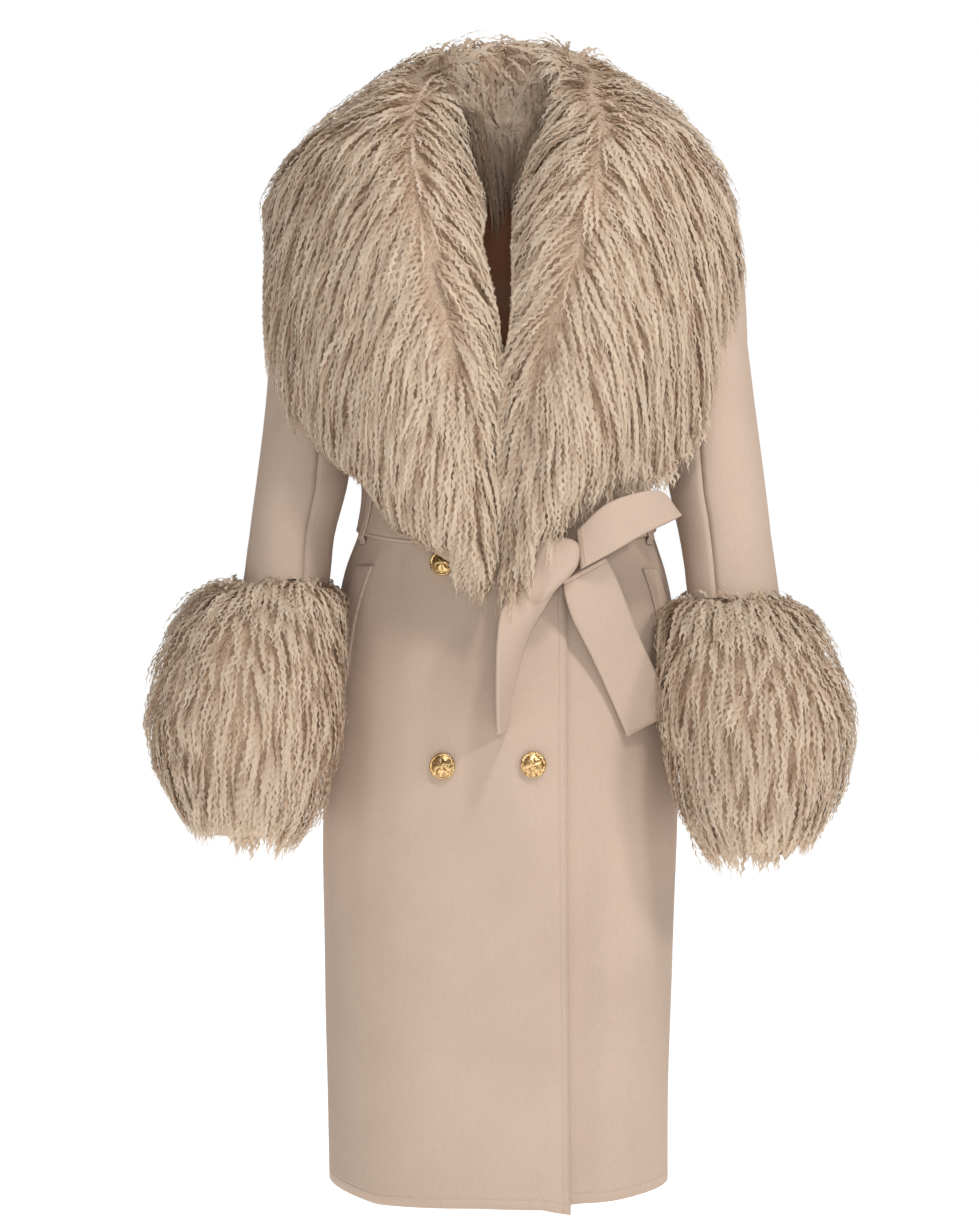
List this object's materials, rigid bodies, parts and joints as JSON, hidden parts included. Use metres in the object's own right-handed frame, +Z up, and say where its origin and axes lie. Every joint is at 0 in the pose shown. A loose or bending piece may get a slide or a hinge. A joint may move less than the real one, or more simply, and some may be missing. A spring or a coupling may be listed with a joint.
{
  "type": "belted wool coat with fur collar and cuffs, hollow as worn",
  "caption": "Hollow mid-calf wrap-front wool coat as worn, double-breasted, tied at the waist with a belt and bow, with a wide long-haired shawl collar and round fur cuffs.",
  "frame": {"origin": "between the wearer's shoulders at the height of the neck seam, where the wearer holds the coat up", "axes": "+Z up, -Y out of the front, +X to the wearer's left"},
  "size_m": [0.681, 0.3454, 1.1694],
  "materials": {
    "wool": "felted, brushed one way, matt",
    "fur": "long crimped lamb hair, soft sheen",
    "button_metal": "pale gilt, polished with a worked top"
  },
  "bodies": {
    "root": {"front_right": "wool", "front_left": "wool", "back": "wool", "sleeve_right_top": "wool", "sleeve_right_under": "wool", "sleeve_left_top": "wool", "sleeve_left_under": "wool", "collar_right": "fur", "collar_left": "fur", "cuff_right": "fur", "cuff_left": "fur", "belt": "wool", "belt_knot": "wool", "belt_bow": "wool", "belt_tail_long": "wool", "belt_tail_short": "wool", "belt_carrier_right": "wool", "belt_carrier_left": "wool", "pocket_welt_right": "wool", "pocket_welt_left": "wool", "button_upper_right": "button_metal", "button_upper_left": "button_metal", "button_lower_right": "button_metal", "button_lower_left": "button_metal"}
  },
  "joints": []
}
